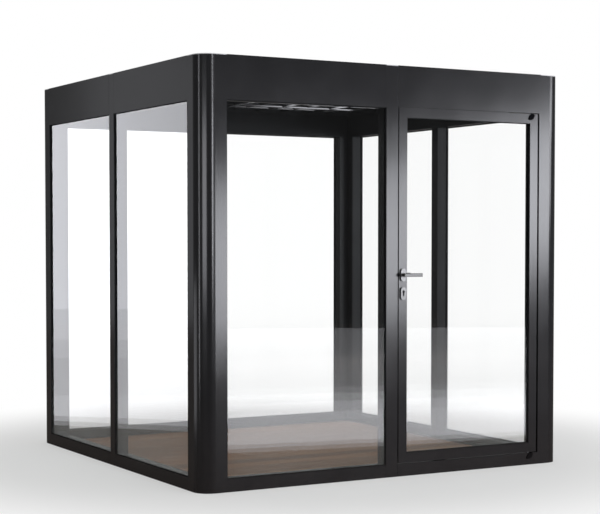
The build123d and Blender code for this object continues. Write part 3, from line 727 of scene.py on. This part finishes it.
class GREENHOUSE_OT_door_furniture(bpy.types.Operator):
    """Rounded levers and pivot covers, lock cylinders and lock screws"""
    bl_idname = "greenhouse.door_furniture"
    bl_label = "Door furniture"

    def execute(self, context):
        sizes = context.scene.greenhouse_sizes
        metal = bpy.data.materials["satin_metal"]
        plastic = bpy.data.materials["matt_plastic"]
        lever_axis = joint_point("lever_handle")
        leaf_low, leaf_high = spread("door_stiles")
        for name, face, outward in (("outside", leaf_low, -1), ("inside", leaf_high, 1)):
            meshes = lever_mesh(lever_axis, face, outward, sizes, outward < 0)
            piece(f"lever_{name}_rounded", meshes, "handle", metal, 35,
                  [f"lever_{name}"])
        for name, body in (("top", "door"), ("bottom", "frame")):
            # Each cover leans down to the left into its own cast shadow, a painted shadow in black plastic.
            cover = cover_mesh(f"pivot_cover_{name}", sizes.cover_shadow_slant, sizes.cover_margin, 0.6)
            piece(f"pivot_cover_{name}_rounded", [cover], body, plastic, 50,
                  [f"pivot_cover_{name}"])
        self.lock_cylinders(sizes, lever_axis, plastic)
        self.lock_screws(metal)
        return {"FINISHED"}

    def lock_cylinders(self, sizes, lever_axis, finish):
        """A cylinder in each keyhole, with a plug split by the slit for the key."""
        meshes = []
        for name, outward in (("outside", -1), ("inside", 1)):
            low, high = spread(f"handle_plates_{name}")
            face = low[1] if outward < 0 else high[1]
            at = np.array([lever_axis[0], 0.0, low[2] + PLATE_HALF_HEIGHT + KEYHOLE_RISE])
            bottom, top = face - outward * KEYHOLE_DEPTH, face - outward * sizes.cylinder_depth
            outline = keyhole_outline(CYLINDER_RADIUS, CYLINDER_HALF_TAIL, CYLINDER_DROP)
            meshes.append(bar_along(at + (0, bottom, 0), at + (0, top, 0), (1, 0, 0), (0, 0, 1),
                                    outline))
            for side in (-1, 1):
                half = half_disc(PLUG_RADIUS, PLUG_HALF_SLIT, side)
                meshes.append(bar_along(at + (0, top, 0), at + (0, top + outward * PLUG_RISE, 0),
                                        (1, 0, 0), (0, 0, 1), half))
        piece("lock_cylinders", meshes, "door", finish, 30)

    def lock_screws(self, finish):
        """Sunk screw heads at the ends of the faceplate in the leaf and the keep in the post."""
        for node, body, towards in (("lock_faceplate", "door", -1), ("lock_keep", "frame", 1)):
            low, high = spread(node)
            across = low[0] if towards < 0 else high[0]
            meshes = []
            for height in (low[2] + SCREW_INSET, high[2] - SCREW_INSET):
                at = (across, (low[1] + high[1]) / 2, height)
                meshes.append(disc_stack(at, (towards, 0, 0), (0, 1, 0), SCREW_RADII,
                                         SCREW_DEPTHS, 24))
            piece(node.replace("lock_", "lock_screws_"), meshes, body, finish, 30)


def lit_set(name, members, keep_out=False):
    """A collection that says which objects a lamp lights, or which it leaves out."""
    chosen = bpy.data.collections.new(name)
    for obj in members:
        chosen.objects.link(obj)
    for entry in chosen.collection_objects:
        entry.light_linking.link_state = "EXCLUDE" if keep_out else "INCLUDE"
    return chosen


def soft_panel(name, place, target, size, radiance, lean, lights, matt):
    """A rectangular soft lamp of a given brightness, aimed at a point and turned by its lean.

    Mirroring faces catch it, matt faces only if it is a matt lamp, and no camera sees it.
    """
    data = bpy.data.lights.new(name, "AREA")
    data.shape = "RECTANGLE"
    data.size, data.size_y = size
    data.energy = radiance * math.pi * size[0] * size[1]
    data.color = LAMP_TINT
    lamp = bpy.data.objects.new(name, data)
    lamp.location = place
    bpy.context.scene.collection.objects.link(lamp)
    lamp.rotation_euler = (Vector(target) - lamp.location).to_track_quat("-Z", "Y").to_euler()
    lamp.rotation_euler.rotate_axis("Z", math.radians(lean))
    lamp.visible_camera = False
    lamp.visible_transmission = False
    lamp.visible_diffuse = matt
    lamp.light_linking.receiver_collection = lights


# Soft lamps: name, place, aim, width and height, brightness, lean in degrees, what it
# lights, and whether matt faces catch it too
WALL_PANELS = (
    ("front_panel", (3.45, -8.8, 1.14), (3.45, 0, 1.14), (3.92, 1.75), 12.6, 5.3, "frame", True),
    ("front_right_panel", (6.9, -8.8, 1.8), (6.9, 0, 1.8), (3.1, 1.75), 14.2, 15.5, "frame", True),
    ("right_corner_panel", (7.06, -6.28, 2.25), (1.1, -1.1, 2.25), (2.0, 1.3), 8.5, 0, "frame",
     False),
    ("side_panel", (7.8, -5.29, 3.3), (1.1, -1.1, 3.3), (2.0, 1.5), 5.5, 0, "frame", False),
    ("edge_panel", (-0.25, -9.1, 2.3), (-1.1, -1.19, 2.3), (0.45, 3.2), 17.0, 0, "frame", False),
    ("edge_low_panel", (-0.2, -9.1, 1.8), (-1.1, -1.19, 1.8), (1.0, 1.5), 9.0, 0, "frame", False),
    ("corner_panel", (-5.98, -5.2, 1.65), (-1.15, -1.15, 1.65), (3.2, 1.6), 6.3, 0, "frame", False),
    ("rim_panel", (-7.2, -1.2, 1.8), (-1.1, -1.1, 1.8), (0.35, 5.0), 11.0, 0, "frame", False),
    ("left_low_panel", (-3.6, 0.62, 0.5), (-1.15, -1.1, 0.5), (1.5, 1.0), 1.5, 0, "frame", False),
    ("left_wall_panel", (-4.9, 6.0, 1.9), (-4.9, 0, 1.9), (3.0, 2.9), 0.42, 0, "frame", False),
)
ROOF_PANELS = (
    ("roof_right_panel", (1.07, -0.1, 1.716), (0, -0.1, 1.716), (1.33, 0.28), 14.0, 34.4,
     "roof_rows", False),
    ("roof_back_panel", (0.345, 1.06, 1.97), (0.345, 0, 1.97), (0.5, 0.26), 7.5, 0, "roof_runs",
     False),
)

# Lamps mirrored in the glass, each a stack of strips that touch, so that it fades by steps:
# name, place and aim in plan, width, lean in degrees, what it lights, the heights of the
# strips' edges from the top down, and the brightness of each strip
STACKS = (
    ("veil", (-3.1, 3.4), (-1.19, 0.2), 2.6, 0, "left_glass",
     (2.8, 0.734, 0.474, 0.32, 0.0), (4.95, 4.1, 3.55, 3.1)),
    ("low_veil", (-1.48, 0.8), (0, 0.8), 2.4, 5.17, "left_glass",
     (0.3226, 0.18, 0.145, 0.115), (3.5, 2.3, 1.0)),
    ("haze", (0.64, -2.2), (0.64, 0), 2.7, -1.5, "front_glass",
     (0.765, 0.3974, 0.3593, 0.3084, 0.2447, 0.06, 0.035, 0.01),
     (3.6, 5.5, 8.5, 12.0, 15.0, 10.0, 4.5)),
)


def strips(name, place, target, width, lean, lights, edges, levels):
    """The soft lamps of a stack, as rows like those of the panels.

    A strip's place is half way between its edges. Its height is their distance times the
    cosine of the lean, because the edges are measured upright at the middle of the stack.
    """
    for number, (top, foot, radiance) in enumerate(zip(edges, edges[1:], levels), 1):
        middle, height = (top + foot) / 2, (top - foot) * math.cos(math.radians(lean))
        yield (f"{name}_strip_{number}", (*place, middle), (*target, middle), (width, height),
               radiance, lean, lights, False)


def straight_rays(tree, path):
    """A node that is 1 for camera rays, also after panes of glass, and 0 after a bounce."""
    bounced = add_node(tree, "ShaderNodeMath", operation="ADD")
    tree.links.new(path.outputs["Glossy Depth"], bounced.inputs[0])
    tree.links.new(path.outputs["Diffuse Depth"], bounced.inputs[1])
    direct = add_node(tree, "ShaderNodeMath", operation="LESS_THAN", inputs={1: 0.5})
    tree.links.new(bounced.outputs[0], direct.inputs[0])
    through = add_node(tree, "ShaderNodeMath", operation="MULTIPLY")
    tree.links.new(path.outputs["Is Transmission Ray"], through.inputs[0])
    tree.links.new(direct.outputs[0], through.inputs[1])
    seen = add_node(tree, "ShaderNodeMath", operation="MAXIMUM")
    tree.links.new(path.outputs["Is Camera Ray"], seen.inputs[0])
    tree.links.new(through.outputs[0], seen.inputs[1])
    return seen


def white_level(tree, path, look):
    """A node with the strength of white: 1 in the open, and a little more behind panes."""
    level = add_node(tree, "ShaderNodeMath", operation="MULTIPLY_ADD",
                     inputs={1: look.through_glass - 1, 2: 1.0})
    tree.links.new(path.outputs["Is Transmission Ray"], level.inputs[0])
    return level


class GREENHOUSE_OT_stage(bpy.types.Operator):
    """Pale floor, soft lamps, white backdrop and the camera of the photograph"""
    bl_idname = "greenhouse.stage"
    bl_label = "Stage"

    def execute(self, context):
        look = context.scene.greenhouse_stage
        self.backdrop(context.scene, look)
        self.ground(look)
        panes = [NODES[name] for name in nodes_of("clear_glass")]
        rows = [bpy.data.objects[name] for name in ("roof_cross_bars_bevelled",
                                                    "roof_thin_cross_bars")]
        runs = [bpy.data.objects[name] for name in ("roof_bars_bevelled", "roof_thin_bars")]
        lit = {"frame": lit_set("not_glass", panes, keep_out=True),
               "left_glass": lit_set("left_glass", [NODES["glass_left"]]),
               "front_glass": lit_set("front_glass", [NODES["glass_front"], NODES["door_glass"]]),
               "roof_rows": lit_set("roof_rows", rows), "roof_runs": lit_set("roof_runs", runs)}
        glass_panels = [strip for stack in STACKS for strip in strips(*stack)]
        for name, place, target, size, radiance, lean, lights, matt in (
                *WALL_PANELS, *glass_panels, *ROOF_PANELS):
            soft_panel(name, place, target, size, radiance, lean, lit[lights], matt)
        camera = bpy.data.objects.new("camera", bpy.data.cameras.new("camera"))
        camera.data.sensor_width = 36.0
        camera.data.lens = look.lens
        camera.data.shift_x, camera.data.shift_y = look.shift
        camera.location = look.eye
        camera.rotation_euler = (math.radians(90 + look.pitch), 0, math.radians(-look.yaw))
        camera.data.clip_end = 500.0
        context.scene.collection.objects.link(camera)
        context.scene.camera = camera
        context.scene.view_settings.view_transform = "Standard"
        return {"FINISHED"}

    def backdrop(self, scene, look):
        """White for the camera and through glass, dimmer in reflections and as light."""
        world = bpy.data.worlds.new("backdrop")
        world.use_nodes = True
        scene.world = world
        tree = world.node_tree
        ground = tree.nodes["Background"]
        path = add_node(tree, "ShaderNodeLightPath")
        seen = straight_rays(tree, path)
        glossy = add_node(tree, "ShaderNodeMix", data_type="FLOAT",
                          inputs={"A": look.ambient, "B": look.mirrored})
        tree.links.new(path.outputs["Is Glossy Ray"], glossy.inputs["Factor"])
        strength = add_node(tree, "ShaderNodeMix", data_type="FLOAT")
        tree.links.new(white_level(tree, path, look).outputs[0], strength.inputs["B"])
        tree.links.new(seen.outputs[0], strength.inputs["Factor"])
        tree.links.new(glossy.outputs["Result"], strength.inputs["A"])
        ground.inputs["Color"].default_value = (1, 1, 1, 1)
        tree.links.new(strength.outputs["Result"], ground.inputs["Strength"])

    def ground(self, look):
        """A wide pale floor that turns into the white backdrop with distance, and shows dark brown in reflections
        as a painted reflection of dark ground.

        Its part of the backdrop's glow grows as a smooth step from the least part, near the
        middle, to the whole of it far off.
        """
        reach, depth, sides = 15.0, 0.0005, 96
        near, far_off, least = 1.7, 3.3, 0.4
        turn = np.linspace(0, 2 * math.pi, sides, endpoint=False)
        rim = np.stack([reach * np.cos(turn), reach * np.sin(turn), np.full(sides, -depth)], -1)
        mesh = bpy.data.meshes.new("ground")
        mesh.from_pydata(rim, [], [tuple(range(sides))])
        obj = bpy.data.objects.new("ground", mesh)
        bpy.context.scene.collection.objects.link(obj)
        finish, tree, shader = new_finish("pale_floor")
        shader.inputs["Roughness"].default_value = 0.9
        path = add_node(tree, "ShaderNodeLightPath")
        # Painted reflection: for glossy rays the floor turns dark brown, so that glass and metal reflect dark
        # ground low down.
        tone = add_node(tree, "ShaderNodeMix", data_type="RGBA")
        tone.inputs["A"].default_value = (0.8, 0.8, 0.79, 1)
        tone.inputs["B"].default_value = (0.2, 0.17, 0.15, 1)
        tree.links.new(path.outputs["Is Glossy Ray"], tone.inputs["Factor"])
        tree.links.new(tone.outputs["Result"], shader.inputs["Base Color"])
        shader.inputs["Specular IOR Level"].default_value = 0.1
        glow = add_node(tree, "ShaderNodeEmission", {"Color": (1, 1, 1, 1)})
        tree.links.new(white_level(tree, path, look).outputs[0], glow.inputs["Strength"])
        place = add_node(tree, "ShaderNodeTexCoord")
        far = add_node(tree, "ShaderNodeVectorMath", operation="LENGTH")
        tree.links.new(place.outputs["Object"], far.inputs[0])
        fade = add_node(tree, "ShaderNodeMapRange",
                        {"From Min": near, "From Max": far_off, "To Min": least},
                        interpolation_type="SMOOTHSTEP")
        tree.links.new(far.outputs["Value"], fade.inputs["Value"])
        seen = straight_rays(tree, path)
        glow_part = add_node(tree, "ShaderNodeMath", operation="MULTIPLY")
        tree.links.new(fade.outputs["Result"], glow_part.inputs[0])
        tree.links.new(seen.outputs[0], glow_part.inputs[1])
        mixed = add_node(tree, "ShaderNodeMixShader")
        tree.links.new(glow_part.outputs[0], mixed.inputs[0])
        tree.links.new(shader.outputs[0], mixed.inputs[1])
        tree.links.new(glow.outputs[0], mixed.inputs[2])
        tree.links.new(mixed.outputs[0], tree.nodes["Material Output"].inputs["Surface"])
        mesh.materials.append(finish)


class GREENHOUSE_PT_panel(bpy.types.Panel):
    """Lists the settings and steps in the sidebar"""
    bl_idname = "GREENHOUSE_PT_panel"
    bl_label = "Greenhouse"
    bl_space_type = "VIEW_3D"
    bl_region_type = "UI"
    bl_category = "Greenhouse"

    def draw(self, context):
        for group in (context.scene.greenhouse_finishes, context.scene.greenhouse_sizes,
                      context.scene.greenhouse_stage):
            box = self.layout.box()
            for name in group.__annotations__:
                box.prop(group, name)
        for step in STEPS:
            self.layout.operator(step.bl_idname)


STEPS = (GREENHOUSE_OT_frame_finish, GREENHOUSE_OT_glass, GREENHOUSE_OT_floor_boards,
         GREENHOUSE_OT_roof_bars, GREENHOUSE_OT_door_furniture, GREENHOUSE_OT_stage)
GROUPS = {"greenhouse_finishes": GREENHOUSE_PG_finishes, "greenhouse_sizes": GREENHOUSE_PG_sizes,
          "greenhouse_stage": GREENHOUSE_PG_stage}
CLASSES = (*GROUPS.values(), *STEPS, GREENHOUSE_PT_panel)


def register():
    """Adds the classes and the settings."""
    for cls in CLASSES:
        bpy.utils.register_class(cls)
    for name, group in GROUPS.items():
        setattr(bpy.types.Scene, name, bpy.props.PointerProperty(type=group))


def unregister():
    """Takes the classes and the settings away again."""
    for name in GROUPS:
        delattr(bpy.types.Scene, name)
    for cls in reversed(CLASSES):
        bpy.utils.unregister_class(cls)


def main():
    """Runs every step in order."""
    register()
    for step in STEPS:
        space, name = step.bl_idname.split(".")
        getattr(getattr(bpy.ops, space), name)()


if __name__ == "__main__":
    main()
